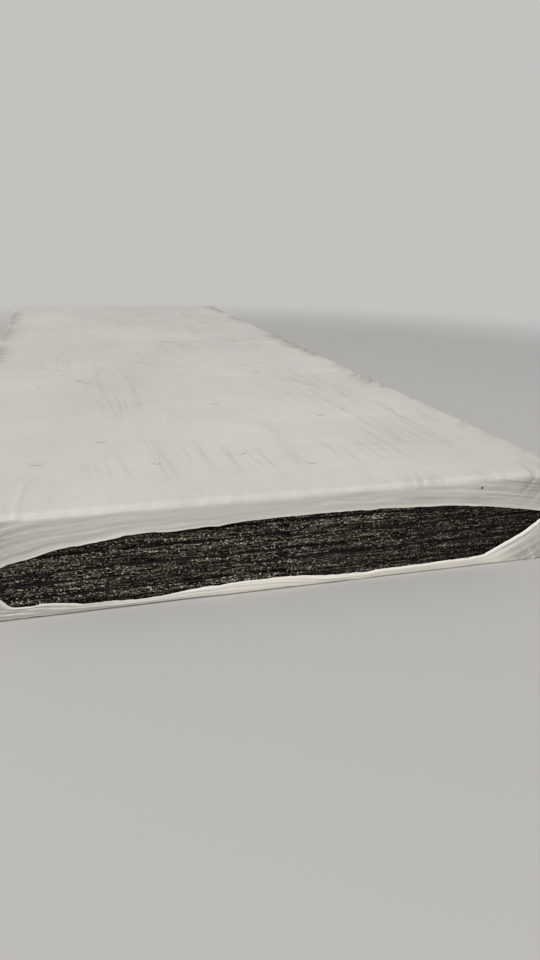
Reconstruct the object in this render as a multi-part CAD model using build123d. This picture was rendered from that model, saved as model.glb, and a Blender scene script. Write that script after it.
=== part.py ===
from build123d import *
import math
import os

# A bundle of laminated asphalt roof shingles in a plastic film sleeve.
#
# The bundle lies on its largest face. X runs across the shingles, from butt edge to
# top edge. Y runs along their length, and the end seen first is at -Y. Z is up, and
# the origin is on the floor under the middle of the bundle.
#
# Each shingle is a full-width front ply with teeth cut into its lower half, and a
# narrower backing strip glued under those teeth. Every second shingle is turned half
# a turn, so that its strip fills the step beside the strip below it. Two shingles
# then take up three plies of height instead of four.

# Shingle, in millimetres
LENGTH = 1038.0  # along Y
EXPOSURE = 149.0  # depth of the cut-outs between the teeth
GLUE_LAP = 21.0  # the backing strip reaches this far above the cut-outs
STRIP_GAP = 9.0  # between the two backing strips of a nested pair
PLY = 1.8  # thickness of one coated felt ply
PAIRS = 10  # nested pairs in the bundle

# Teeth: widths at the root of each cut-out and of the tab beside it
TAB_WIDTHS = (128.0, 96.0, 152.0, 110.0)
NOTCH_WIDTHS = (72.0, 88.0, 60.0)
NOTCH_FLARE = 5.0  # each flank of a cut-out opens this much towards the butt edge
END_TAB = 45.0  # the least width of the tab at each end
PATTERN_SHIFT = 67.0  # how far the pattern moves on from one shingle to the next

# Stacking: shingles never lie quite flush
END_STAGGER = 1.5  # a shingle's end stands in or out by up to this
SIDE_STAGGER = 0.8  # a pair lies to the left or right by up to this
STAGGER_STEP = 0.382  # share of the whole stagger from one to the next

# Film sleeve
FILM = 0.5  # thickness, with its small slack and creases
SIDE_SLACK = 2.0  # between the pair that lies furthest out and the film's side
END_SLACK = 2.0  # between the shingle that stands out furthest and the film's end

# Eye-shaped opening that the shrunk film leaves at each end, seen from outside. A point
# is (share of the inside width from the left, share of the stack's height from below).
EYE_LEFT = (0.060, 0.361)  # its left corner
EYE_RIGHT = (0.965, 0.528)  # its right corner
EYE_TOP = (
    (0.099, 0.524), (0.174, 0.648), (0.246, 0.699), (0.303, 0.737), (0.392, 0.733),
    (0.477, 0.762), (0.591, 0.759), (0.688, 0.743), (0.807, 0.701), (0.877, 0.634),
    (0.943, 0.565),
)
EYE_BOTTOM = (
    (0.094, 0.212), (0.110, 0.128), (0.147, 0.128), (0.203, 0.085), (0.295, 0.074),
    (0.350, 0.109), (0.479, 0.141), (0.582, 0.087), (0.696, 0.090), (0.833, 0.102),
    (0.889, 0.242), (0.934, 0.421),
)

strip_width = EXPOSURE + GLUE_LAP
shingle_width = 2 * strip_width + STRIP_GAP
pair_height = 3 * PLY
stack_height = PAIRS * pair_height
inner_width = shingle_width + 2 * (SIDE_STAGGER + SIDE_SLACK)
inner_length = LENGTH + 2 * (END_STAGGER + END_SLACK)
inner_round = min(SIDE_SLACK, END_SLACK)  # so that no shingle's corner meets the film


def notch_spans(shift):
    """The cut-outs along one shingle, as (start, width) at their roots."""
    spans = []
    index = 0
    start = END_TAB + shift
    while start + NOTCH_WIDTHS[index % len(NOTCH_WIDTHS)] + END_TAB < LENGTH:
        width = NOTCH_WIDTHS[index % len(NOTCH_WIDTHS)]
        spans.append((start, width))
        start += width + TAB_WIDTHS[index % len(TAB_WIDTHS)]
        index += 1
    return spans


def notches(shift, z_mid):
    """Prisms that cut one ply's teeth, for a shingle with its butt edge at X = 0."""
    prisms = []
    reach = PLY  # past the butt edge, so that the cut is open there
    flare = NOTCH_FLARE * (1 + reach / EXPOSURE)
    for start, width in notch_spans(shift):
        outline = Polyline(
            (-reach, start - flare),
            (EXPOSURE, start),
            (EXPOSURE, start + width),
            (-reach, start + width + flare),
            close=True,
        )
        base = Pos(0, 0, z_mid - PLY) * make_face(outline)
        prisms.append(extrude(base, amount=2 * PLY, dir=(0, 0, 1)))
    return prisms


def bent_ply():
    """A front ply that steps down by one ply between the two backing strips."""
    turn = 2 * math.atan2(PLY, STRIP_GAP)
    radius = STRIP_GAP / (2 * math.sin(turn))
    inner, outer = radius - PLY / 2, radius + PLY / 2
    angle = math.degrees(turn)
    far = strip_width + STRIP_GAP

    under = Line((0, PLY), (strip_width, PLY))
    under_fall = JernArc(under @ 1, (1, 0), inner, -angle)
    under_rest = JernArc(under_fall @ 1, under_fall % 1, outer, angle)
    low = Line(under_rest @ 1, (shingle_width, 0))
    edge = Line(low @ 1, (shingle_width, PLY))
    over = Line(edge @ 1, (far, PLY))
    over_rise = JernArc(over @ 1, (-1, 0), inner, -angle)
    over_rest = JernArc(over_rise @ 1, over_rise % 1, outer, angle)
    high = Line(over_rest @ 1, (0, 2 * PLY))
    butt = Line(high @ 1, under @ 0)
    outline = Curve() + [
        under, under_fall, under_rest, low, edge, over, over_rise, over_rest, high, butt
    ]
    # The outline is drawn in X and Z, and runs along Y from the front end.
    side = Plane(origin=(0, 0, 0), x_dir=(1, 0, 0), z_dir=(0, -1, 0))
    return extrude(side * make_face(outline), amount=-LENGTH)


def slab(width, z_low):
    """A flat ply from X = 0, with its underside at z_low."""
    return Pos(width / 2, LENGTH / 2, z_low + PLY / 2) * Box(width, LENGTH, PLY)


def lower_shingle(shift):
    """The first of a pair: strip at the left, front ply stepping down to the right."""
    front = bent_ply() - notches(shift, 1.5 * PLY)
    return front + slab(strip_width, 0)


def upper_shingle(shift):
    """The second of a pair: strip at the right, on the stepped-down ply, then flat."""
    front = slab(shingle_width, 2 * PLY) - notches(shift, 2.5 * PLY)
    turned = front + slab(strip_width, PLY)
    about = Pos(shingle_width, LENGTH, 0) * Rot(0, 0, 180)
    return about * turned


def film_block(grow):
    """The bundle's outer form: the stack with its slack, grown by a film's thickness."""
    width = inner_width + 2 * grow
    length = inner_length + 2 * grow
    height = stack_height + 2 * grow
    block = Pos(0, 0, FILM + stack_height / 2) * Box(width, length, height)
    return fillet(block.edges(), inner_round + grow)


def eye_opening():
    """The eye's face at the front end, with a low left corner and a higher right one."""
    edges = []
    for points in (EYE_TOP, EYE_BOTTOM):
        shares = (EYE_LEFT, *points, EYE_RIGHT)
        placed = [
            ((across - 0.5) * inner_width, FILM + up * stack_height) for across, up in shares
        ]
        edges.append(Spline(*placed))
    front = Plane(origin=(0, 0, 0), x_dir=(1, 0, 0), z_dir=(0, -1, 0))
    return front * make_face(Curve() + edges)


def film_wrap():
    """One sleeve of film, closed round the stack and drawn in over its two ends."""
    sleeve = film_block(FILM) - film_block(0)
    hole = extrude(eye_opening(), amount=inner_length)
    back_hole = Rot(0, 0, 180) * hole
    return sleeve - hole - back_hole


def stagger(index, reach):
    """An uneven offset between plus and minus reach, its own for each index."""
    return reach * (2 * math.fmod(index * STAGGER_STEP, 1.0) - 1)


def stacked(index):
    """Shingle number index, counted from 0 at the bottom, in its place."""
    pair, upper = divmod(index, 2)
    shift = math.fmod(index * PATTERN_SHIFT, max(TAB_WIDTHS))
    shingle = upper_shingle(shift) if upper else lower_shingle(shift)
    place = Pos(
        -shingle_width / 2 + stagger(pair, SIDE_STAGGER),
        -LENGTH / 2 - stagger(index, END_STAGGER),
        FILM + pair * pair_height,
    )
    return place * shingle


def as_solid(shape):
    """The one solid that a finished shape holds."""
    solids = shape.solids()
    if len(solids) != 1:
        raise ValueError(f"expected one solid and got {len(solids)}")
    return solids[0]


os.makedirs("parts", exist_ok=True)
for number in range(2 * PAIRS):
    export_step(as_solid(stacked(number)), f"parts/shingle_{number + 1:02d}.step")
export_step(as_solid(film_wrap()), "parts/film_wrap.step")
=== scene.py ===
import functools
import itertools
import math

import bpy
import numpy as np
from mathutils import Matrix, Vector


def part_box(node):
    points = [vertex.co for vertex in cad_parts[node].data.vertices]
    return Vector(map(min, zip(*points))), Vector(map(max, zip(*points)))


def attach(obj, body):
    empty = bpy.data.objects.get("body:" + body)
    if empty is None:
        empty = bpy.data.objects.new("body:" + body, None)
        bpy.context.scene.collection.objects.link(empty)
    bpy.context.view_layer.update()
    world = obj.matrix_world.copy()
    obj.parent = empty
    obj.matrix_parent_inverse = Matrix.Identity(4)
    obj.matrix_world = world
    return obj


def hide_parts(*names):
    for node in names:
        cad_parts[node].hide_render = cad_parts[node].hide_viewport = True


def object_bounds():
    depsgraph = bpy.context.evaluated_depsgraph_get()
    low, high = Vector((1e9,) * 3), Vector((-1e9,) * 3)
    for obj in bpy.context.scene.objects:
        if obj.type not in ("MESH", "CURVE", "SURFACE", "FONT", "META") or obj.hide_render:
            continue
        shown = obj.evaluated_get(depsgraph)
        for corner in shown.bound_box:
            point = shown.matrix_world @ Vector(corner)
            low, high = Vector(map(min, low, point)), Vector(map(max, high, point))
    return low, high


# A bundle of laminated asphalt roof shingles in a sleeve of white film.
#
# The frame holds the twenty shingles and the plain sleeve. Here the shingles get their
# finish, their cut ends get torn felt and granules, and the sleeve is made again as thin
# film, drawn in round an eye-shaped opening at each end. The shape is worked out in
# millimetres and written to the meshes in metres.

bl_info = {
    "name": "Asphalt Shingle Bundle",
    "version": (1, 0, 0),
    "blender": (4, 5, 0),
    "location": "View3D > Sidebar > Shingle Bundle",
    "description": "Finishes a film-wrapped bundle of laminated asphalt shingles",
    "category": "Object",
}

MM = 0.001
BODY = "root"

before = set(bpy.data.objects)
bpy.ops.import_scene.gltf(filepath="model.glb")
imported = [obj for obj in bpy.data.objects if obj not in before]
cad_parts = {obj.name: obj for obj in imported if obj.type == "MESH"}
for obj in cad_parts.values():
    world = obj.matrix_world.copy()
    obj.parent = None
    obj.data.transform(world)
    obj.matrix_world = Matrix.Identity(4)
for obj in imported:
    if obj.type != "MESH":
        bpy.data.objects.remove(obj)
cad_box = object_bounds()

# What the frame says, in millimetres
SHINGLES = sorted(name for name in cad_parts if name.startswith("shingle_"))
PAIRS = [tuple(SHINGLES[k:k + 2]) for k in range(0, len(SHINGLES), 2)]
HALF_WIDTH = cad_box[1].x / MM
HALF_LENGTH = cad_box[1].y / MM
HEIGHT = cad_box[1].z / MM
PLY = (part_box(SHINGLES[0])[1].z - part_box(SHINGLES[0])[0].z) / MM / 2
SHINGLE_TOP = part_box(SHINGLES[-1])[1].z / MM

# The eye-shaped opening, seen from outside an end: across from the middle of the
# bundle, and up from the floor
LEFT_TIP = (-156.0, 20.0)
RIGHT_TIP = (165.0, 29.0)
UPPER_LIP = (
    (-142, 28.8), (-128, 32.6), (-116, 35.5), (-103, 37.2), (-90, 38.2), (-83, 39.7), (-70, 40.3),
    (-60, 39.6), (-38, 40.1), (-8, 41.7), (32, 41.5), (67, 40.6), (88, 39.9), (109, 38.4),
    (134, 34.7), (157, 31.0),
)
LOWER_LIP = (
    (-150, 16.6), (-144, 12.0), (-140.5, 8.3), (-139, 7.1), (-137, 6.8), (-128, 6.9),
    (-125, 7.5), (-105, 4.9), (-92, 4.2), (-73, 3.8), (-53, 5.2), (-30, 6.6), (-8, 7.0),
    (10, 6.6), (19, 5.4), (29, 4.6), (49, 4.3), (70, 5.0), (91, 5.4), (118, 6.0),
    (122.5, 6.4), (125, 7.5), (138, 13.6), (148, 18.5), (154, 22.8), (159, 25.9),
)

# The photograph's camera, from the lines of the bundle in it
CAMERA_PLACE = (-107.0, -859.0, 181.0)
CAMERA_PITCH = 18.62  # degrees below level
CAMERA_YAW = 16.34  # degrees from +Y towards +X
CAMERA_ROLL = 0.92
FOCAL_PIXELS = 721.0
FRAME_PIXELS = 960.0  # the longer side
SENSOR = 36.0  # millimetres


def setting(name, description, default, unit="NONE"):
    """A number that a user can set."""
    return bpy.props.FloatProperty(name=name, description=description, default=default, unit=unit)


def size_setting(name, description, millimetres):
    """A length that a user can set."""
    return setting(name, description, millimetres * MM, "LENGTH")


class FilmSettings(bpy.types.PropertyGroup):
    """Sizes of the film sleeve."""

    corner_radius: size_setting("Corner radius", "Rounding of the four long edges", 4.2)
    top_radius: size_setting("Upper end radius", "Rounding of each end's upper edge", 4.0)
    bottom_radius: size_setting("Lower end radius", "Rounding of each end's lower edge", 1.6)
    lip_radius: size_setting("Lip radius", "How far the lip of the opening bends inwards", 0.55)
    gather_height: size_setting("Gather height", "Height of the folds at the opening's corners", 1.5)
    drag_height: size_setting("Drag fold height", "Height of the slanting folds on the long edges", 1.0)
    sag: size_setting("Sag", "How far the film sags into the top shingle's cut-outs", 1.4)
    flat_size: bpy.props.FloatVectorProperty(
        name="Flat size", description="Width and length that the sleeve was cut to",
        size=2, default=(0.86, 1.13), unit="LENGTH")


class VentSettings(bpy.types.PropertyGroup):
    """Sizes of the small half-moon vents punched in the film."""

    width: size_setting("Width", "Width of a vent's ring", 8.6)
    ridge: size_setting("Ridge", "Height of a vent's ring over the film", 0.16)
    spacing: size_setting("Spacing", "Least distance between two vents", 42.0)
    density: setting("Density", "Vents for each square metre, before the spacing is kept", 420.0)


class EdgeSettings(bpy.types.PropertyGroup):
    """Sizes of the torn felt at the shingles' cut ends."""

    strip_gap: size_setting("Strip gap", "Gap between the two backing strips of a pair", 9.0)
    reach: size_setting("Reach", "How far torn felt stands out of a shingle's end", 0.8)
    wave: size_setting("Wave", "How far a ply wanders up and down", 0.36)


class GranuleSettings(bpy.types.PropertyGroup):
    """Number and sizes of the mineral granules that show at the cut ends."""

    front_count: bpy.props.IntProperty(
        name="Front granules", description="Granules on the end seen first", default=15000)
    back_count: bpy.props.IntProperty(
        name="Back granules", description="Granules on the far end", default=11500)
    smallest: size_setting("Smallest granule", "Width of the smallest granule", 0.3)
    largest: size_setting("Largest granule", "Width of the largest granule", 0.8)


class StageSettings(bpy.types.PropertyGroup):
    """Floor and lamps."""

    floor_size: setting("Floor size", "Width of the round floor", 30.0, "LENGTH")
    key_power: setting("Key power", "Power of the large lamp at the upper left", 175.0, "POWER")
    fill_power: setting("Fill power", "Power of the smaller lamp in front", 20.0, "POWER")
    sky: setting("Sky", "Strength of the light from all round", 0.42)


# Colour and node helpers

def linear(code):
    """A linear colour from an sRGB hex code such as 'C9C5BF'."""
    channels = [int(code[k:k + 2], 16) / 255 for k in (0, 2, 4)]
    straight = [c / 12.92 if c <= 0.04045 else ((c + 0.055) / 1.055) ** 2.4 for c in channels]
    return (*straight, 1.0)


def feed(node, sockets):
    """Gives inputs of a node, by name or by number, a value or a link.

    A link comes from a socket, or from another node's first output in use.
    """
    for name, value in sockets.items():
        into = node.inputs[name] if isinstance(name, int) else next(
            socket for socket in node.inputs if socket.enabled and socket.name == name)
        if isinstance(value, bpy.types.Node):
            value = next(socket for socket in value.outputs if socket.enabled)
        if isinstance(value, bpy.types.NodeSocket):
            node.id_data.links.new(value, into)
        else:
            into.default_value = value


def add_node(tree, kind, sockets=None, **settings):
    """Adds one node with its settings and its inputs."""
    made = tree.nodes.new(kind)
    for name, value in settings.items():
        setattr(made, name, value)
    feed(made, sockets or {})
    return made


def new_material(name):
    """An empty material, with a function that adds nodes to it and its shader."""
    material = bpy.data.materials.new(name)
    material.use_nodes = True
    material.node_tree.nodes.clear()
    add = functools.partial(add_node, material.node_tree)
    shader = add("ShaderNodeBsdfPrincipled")
    add("ShaderNodeOutputMaterial", {"Surface": shader})
    return material, add, shader


def set_stops(ramp, stops):
    """Gives a colour ramp node its stops, each a place and a hex code."""
    elements = ramp.color_ramp.elements
    for place, code in stops[2:]:
        elements.new(place)
    for element, (place, code) in zip(elements, stops):
        element.position = place
        element.color = linear(code)


# Noise over arrays

PRIMES = (73856093, 19349663, 83492791)
WORD = 0xFFFFFFFF


def lattice(seed, cells):
    """A fixed random number from -1 to 1 for each cell of whole numbers."""
    mixed = np.full(cells[0].shape, (seed * 2654435761) & WORD, np.int64)
    for cell, prime in zip(cells, PRIMES):
        mixed ^= (cell.astype(np.int64) * prime) & WORD
        mixed = (mixed * 0x45D9F3B) & WORD
        mixed ^= mixed >> 15
    mixed = (mixed * 0x2C1B3C6D) & WORD
    mixed ^= mixed >> 13
    return mixed / (WORD / 2) - 1


def noise(seed, *coordinates):
    """Smooth noise from -1 to 1 over arrays of coordinates, one cell for each unit."""
    arrays = np.broadcast_arrays(*coordinates)
    lows = [np.floor(a) for a in arrays]
    fades = [(a - low) ** 2 * (3 - 2 * (a - low)) for a, low in zip(arrays, lows)]
    total = np.zeros(arrays[0].shape)
    for corner in itertools.product((0, 1), repeat=len(arrays)):
        weight = np.ones(arrays[0].shape)
        for bit, fade in zip(corner, fades):
            weight = weight * (fade if bit else 1 - fade)
        total += weight * lattice(seed, [low + bit for low, bit in zip(lows, corner)])
    return total


def ridges(seed, *coordinates):
    """Noise with sharp crests and wide valleys, about -0.45 to 0.55."""
    return (1 - np.abs(noise(seed, *coordinates))) ** 2.2 - 0.45


def ease(values, low, high):
    """A smooth step from 0 at low to 1 at high."""
    share = np.clip((values - low) / (high - low), 0, 1)
    return share * share * (3 - 2 * share)


# Meshes

def mesh_object(name, vertices, faces, attributes=None, smooth=True):
    """An object at the origin from vertices in millimetres."""
    mesh = bpy.data.meshes.new(name)
    mesh.from_pydata((np.asarray(vertices) * MM).tolist(), [], faces)
    for attribute, values in (attributes or {}).items():
        layer = mesh.attributes.new(attribute, "FLOAT", "POINT")
        layer.data.foreach_set("value", np.asarray(values, np.float32))
    mesh.polygons.foreach_set("use_smooth", [smooth] * len(mesh.polygons))
    mesh.update()
    made = bpy.data.objects.new(name, mesh)
    bpy.context.scene.collection.objects.link(made)
    return made


def smooth_path(points, per_span=24):
    """Points along a smooth curve through a few given ones."""
    known = np.array(points, float)
    ends = np.vstack([2 * known[0] - known[1], known, 2 * known[-1] - known[-2]])
    share = np.linspace(0, 1, per_span, endpoint=False)[:, None]
    spans = []
    for before, start, stop, after in zip(ends, ends[1:], ends[2:], ends[3:]):
        span = np.linalg.norm(stop - start)
        slope_in = span * (stop - before) / np.linalg.norm(stop - before)
        slope_out = span * (after - start) / np.linalg.norm(after - start)
        spans.append(
            (2 * share**3 - 3 * share**2 + 1) * start + (share**3 - 2 * share**2 + share) * slope_in
            + (3 * share**2 - 2 * share**3) * stop + (share**3 - share**2) * slope_out)
    return np.vstack(spans + [known[-1:]])


def run_lengths(points):
    """The distance along a path at each of its points."""
    steps = np.linalg.norm(np.diff(points, axis=0), axis=1)
    return np.concatenate([[0.0], np.cumsum(steps)])


# Film sleeve

ARC_STEPS = 24  # points on each rounded corner of the outline
NOSE = (5.0, 6.0)  # length of lip below and above a tip that a whole short side is drawn to
ROUND_STEPS = 4096  # steps round the section in its table of drawn-in places
BLUR = 32  # steps to each side that these places are smoothed over
# Rows of points on an end: shares of the way from the lip to the rounded edge, then over it
FLAT_SHARES = (0, 0.007, 0.016, 0.028, 0.045, 0.07, 0.1, 0.14, 0.18, 0.23, 0.28,
               *np.linspace(0.34, 1, 12))
ROUND_SHARES = tuple(1 + np.linspace(1 / 6, 1, 6))
FRONT_STEP, BACK_STEP = 1.0, 2.0  # between points round the two ends
FRONT_RUN, BACK_RUN = 44.0, 30.0  # lengths of the fine stretches behind the ends
FRONT_GAP = 3.0  # between the last row of the front stretch and the next one
# The first step between rows and their count, in the front stretch and between the two
FRONT_GRADE, LONG_GRADE = (1.2, 19), (2.7, 318)
BACK_ROWS = (27, 22, 18, 14, 10.5, 7.5, 5, 3, 1.5)  # distances of the last rows from the back
UNDER_STEP, TOP_STEP, SIDE_STEP = 18.0, 5.5, 3.2  # between points across each long face
LOWER_STEP, UPPER_STEP = 2.2, 1.3  # and near the lower and upper long edges
CORNER_REACH = 10.0  # how far to each side of a long edge counts as near
SAMPLES = 6000  # places round the section at which this spacing is worked out
ROOM_RUN = 12.0  # length over which the rows behind an end make room for its rounded edge
LEAST_LAP = 12.0  # film behind an edge counts as at least this far from the lip


def outline_table():
    """The sleeve's section as a table: distance round, across, up and the outward normal."""
    radius = bpy.context.scene.bundle_film.corner_radius / MM
    rows = [(-HALF_WIDTH, HEIGHT / 2, -1.0, 0.0)]
    for side, upper, start in ((-1, 0, 180), (1, 0, 270), (1, 1, 0), (-1, 1, 90)):
        centre = (side * (HALF_WIDTH - radius), HEIGHT - radius if upper else radius)
        for step in range(ARC_STEPS + 1):
            angle = math.radians(start + 90 * step / ARC_STEPS)
            normal = (math.cos(angle), math.sin(angle))
            rows.append((centre[0] + radius * normal[0], centre[1] + radius * normal[1], *normal))
    rows.append(rows[0])
    rows = np.array(rows)
    return run_lengths(rows[:, :2]), rows


class Section:
    """The sleeve's outline and the eye that each of its points is drawn in to."""

    def __init__(self):
        self.film = bpy.context.scene.bundle_film
        self.runs, self.rows = outline_table()
        self.total = self.runs[-1]
        self.corners = self.runs[1 + ARC_STEPS // 2::ARC_STEPS + 1][:4]
        lower = smooth_path([LEFT_TIP, *LOWER_LIP, RIGHT_TIP])
        upper = smooth_path([RIGHT_TIP, *reversed(UPPER_LIP), LEFT_TIP])
        self.eye = np.vstack([lower, upper[1:]])
        self.eye_runs = run_lengths(self.eye)
        right = self.eye_runs[len(lower) - 1]
        last = self.eye_runs[-1]
        known = (0, *self.corners[:2], self.total / 2, *self.corners[2:], self.total)
        drawn = (0, NOSE[0], right - NOSE[0], right, right + NOSE[1], last - NOSE[1], last)
        self.fine = np.linspace(0, self.total, ROUND_STEPS + 1)
        straight = np.interp(self.fine, known, drawn) - self.fine * last / self.total
        window = np.hanning(2 * BLUR + 1)
        around = np.concatenate([straight[-BLUR - 1:-1], straight, straight[1:BLUR + 1]])
        self.drawn = np.convolve(around, window / window.sum(), "valid")
        self.drawn += self.fine * last / self.total

    def outline(self, runs):
        """Points and outward normals at distances round the section."""
        turned = np.mod(runs, self.total)
        return np.stack([np.interp(turned, self.runs, c) for c in self.rows.T], axis=-1)

    def lip(self, runs):
        """Points of the eye that film at these distances round the section ends at."""
        along = np.interp(np.mod(runs, self.total), self.fine, self.drawn)
        along = np.mod(along, self.eye_runs[-1])
        points = np.stack([np.interp(along, self.eye_runs, c) for c in self.eye.T], axis=-1)
        points[:, 1] += 0.30 * noise(5, points[:, 0] / 7) + 0.14 * noise(6, points[:, 0] / 2.2)
        return points

    def end_radius(self, height):
        """Rounding of the end edge, small at the floor and larger at the top."""
        low, high = self.film.bottom_radius / MM, self.film.top_radius / MM
        return low + (high - low) * ease(height, 0, HEIGHT)


def even_ring(section, step):
    """Distances round the section, evenly spaced."""
    count = 2 * round(section.total / step / 2)
    return np.arange(count) * section.total / count


def graded_ring(section):
    """Distances round the section: close at the long edges and wide on the underside."""
    runs = np.linspace(0, section.total, SAMPLES)
    rows = section.outline(runs[:-1])
    underside, topside = rows[:, 3] < -0.5, rows[:, 3] > 0.5
    spacing = np.where(underside, UNDER_STEP, np.where(topside, TOP_STEP, SIDE_STEP))
    for corner in section.corners:
        near = np.abs(runs[:-1] - corner) < CORNER_REACH
        spacing = np.where(near, LOWER_STEP if corner < section.total / 2 else UPPER_STEP, spacing)
    density = 1 / spacing
    filled = np.concatenate([[0], np.cumsum(density * np.diff(runs))])
    count = int(filled[-1])
    return np.interp(np.arange(count) * filled[-1] / count, filled, runs)


def end_rows(section, at, shares, back):
    """Film on an end face, from the lip outwards, and over the rounded edge."""
    rows = []
    outer = section.outline(at)
    across, up, out_x, out_z = outer.T
    radius = section.end_radius(up)
    # The back end is the front one turned half round, so its left meets the front's right
    lip = section.lip(section.total / 2 - at if back else at)
    lip_x, lip_z = lip[:, 0] * (-1 if back else 1), lip[:, 1]
    foot_x, foot_z = across - radius * out_x, up - radius * out_z
    length = np.hypot(foot_x - lip_x, foot_z - lip_z)
    for share in shares:
        if share <= 1:
            x, z = lip_x + share * (foot_x - lip_x), lip_z + share * (foot_z - lip_z)
            y = np.full(x.shape, -HALF_LENGTH)
            normal = (0 * x, 0 * x - 1, 0 * x)
            lap, edge = share * length, (share - 1) * length
        else:
            turn = (share - 1) * math.pi / 2
            x = foot_x + radius * math.sin(turn) * out_x
            z = foot_z + radius * math.sin(turn) * out_z
            y = -HALF_LENGTH + radius * (1 - math.cos(turn))
            normal = (math.sin(turn) * out_x, 0 * x - math.cos(turn), math.sin(turn) * out_z)
            lap, edge = length + radius * turn, radius * turn
        rows.append(film_row(at, outer, (x, y, z), normal, lap, edge, back))
    return rows


def film_row(at, outer, place, normal, lap, edge, back):
    """One ring of points, with what the folds need to know about each.

    Here at, lap and edge are distances: round the section, from the lip, and past the start
    of the rounded edge. n is the normal, out_z how far the section's normal points up, and
    end the end that the point is nearer to, -1 for the front.
    """
    x, y, z = place
    if back:
        y, normal = -y, (normal[0], -normal[1], normal[2])
    return {
        "at": at, "x": x, "y": y, "z": z, "n": np.stack(normal, axis=-1),
        "out_z": outer[:, 3], "lap": lap, "edge": edge,
        "end": np.full(x.shape, 1.0 if back else -1.0)}


def long_rows(section, at, distances):
    """Film along the bundle, at distances from the front end's plane."""
    outer = section.outline(at)
    across, up, out_x, out_z = outer.T
    radius = section.end_radius(up)
    rows = []
    for distance in distances:
        back = distance > HALF_LENGTH
        near = 2 * HALF_LENGTH - distance if back else distance
        past = near + radius * np.exp(-near / ROOM_RUN)
        edge = past - radius + radius * math.pi / 2
        place, normal = (across, past - HALF_LENGTH, up), (out_x, 0 * out_x, out_z)
        rows.append(film_row(at, outer, place, normal, edge + LEAST_LAP, edge, back))
    return rows


def graded(start, stop, first, count):
    """Distances from start to stop whose steps widen from first towards the middle."""
    share = np.linspace(0, 1, count)
    even = (stop - start) / (count - 1)
    bend = (1 - first / even) / (2 * math.pi)
    return start + (stop - start) * (share - bend * np.sin(2 * math.pi * share))


def sleeve_rows(section):
    """All rings of the film, from the front lip to the back lip."""
    front, rear = even_ring(section, FRONT_STEP), even_ring(section, BACK_STEP)
    start, stop = FRONT_RUN + FRONT_GAP, 2 * HALF_LENGTH - BACK_RUN
    rows = end_rows(section, front, FLAT_SHARES + ROUND_SHARES, back=False)
    rows += long_rows(section, front, graded(FRONT_GRADE[0], FRONT_RUN, *FRONT_GRADE))
    rows += long_rows(section, graded_ring(section), graded(start, stop, *LONG_GRADE))
    rows += long_rows(section, rear, 2 * HALF_LENGTH - np.array(BACK_ROWS))
    rows += end_rows(section, rear, FLAT_SHARES[::2] + ROUND_SHARES[1::2], back=True)[::-1]
    return rows


def ring_faces(rows):
    """Quads between rings of the same count, and triangles where the count changes."""
    faces = []
    first = 0
    for here, there in zip(rows, rows[1:]):
        count, other = len(here["at"]), len(there["at"])
        second = first + count
        if count == other:
            for k in range(count):
                n = (k + 1) % count
                faces.append((first + k, second + k, second + n, first + n))
        else:
            i = j = 0
            ends = np.append(here["at"], math.inf), np.append(there["at"], math.inf)
            while i < count or j < other:
                a, b = first + i % count, second + j % other
                if j >= other or (i < count and ends[0][i + 1] <= ends[1][j + 1]):
                    faces.append((a, b, first + (i + 1) % count))
                    i += 1
                else:
                    faces.append((a, b, second + (j + 1) % other))
                    j += 1
        first = second
    return faces


# About half the spacing of the folds: at the tips, coarse and fine, along the lips, over the
# end edges, coarse and fine, on the long edges, and in the tucks
GATHER_STEP, GATHER_FINE, LIP_STEP, PLEAT_STEP, PLEAT_FINE, DRAG_STEP, TUCK_STEP = (
    5.5, 2.9, 2.4, 6.5, 3.1, 4.4, 2.6)
PLEAT_HEIGHT, CREASE_HEIGHT = 0.42, 0.4
TUCK_RADIUS = 6.5
EDGE_WEAR = 12.0  # width of the worn strip along each side of a long edge
LIP_WIDTH = 1.3  # of the bright edge of the lip
OFF_FLOOR = 0.05  # of the bright edge of the lip: thicker film with a painted highlight
SINK_TOP, SINK_SIDE, SINK_END = 0.32, 1.6, 0.75  # how far folds may sink towards the shingles
BACK_FOLDS = 0.97  # height of the back half's folds as a share of the front half's
SAG_START = 0.62  # the film sags where a cut-out's blurred depth is past this share of a ply


def sag_field(reach=14.0, step=4.0):
    """How far below the film the top shingle lies, blurred as taut film would bridge it."""
    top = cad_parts[SHINGLES[-1]]
    xs = np.arange(-HALF_WIDTH, HALF_WIDTH + step, step)
    ys = np.arange(-HALF_LENGTH, HALF_LENGTH + step, step)
    down = Vector((0, 0, -1))
    depth = np.zeros((len(xs), len(ys)))
    for i, x in enumerate(xs):
        for j, y in enumerate(ys):
            hit, place, _, _ = top.ray_cast(Vector((x, y, 2 * HEIGHT)) * MM, down)
            if hit:
                depth[i, j] = SHINGLE_TOP - place.z / MM
    window = np.hanning(2 * round(reach / step) + 3)
    window /= window.sum()
    depth = np.apply_along_axis(np.convolve, 0, depth, window, "same")
    depth = np.apply_along_axis(np.convolve, 1, depth, window, "same")
    return xs, ys, np.clip((depth / PLY - SAG_START) / (1 - SAG_START), 0, 1)


def sampled(field, x, y):
    """A field's value at places between its grid points."""
    xs, ys, values = field
    i = np.clip((x - xs[0]) / (xs[1] - xs[0]), 0, len(xs) - 1.001)
    j = np.clip((y - ys[0]) / (ys[1] - ys[0]), 0, len(ys) - 1.001)
    a, b = np.floor(i).astype(int), np.floor(j).astype(int)
    u, v = i - a, j - b
    low = values[a, b] * (1 - v) + values[a, b + 1] * v
    high = values[a + 1, b] * (1 - v) + values[a + 1, b + 1] * v
    return low * (1 - u) + high * u


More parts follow.
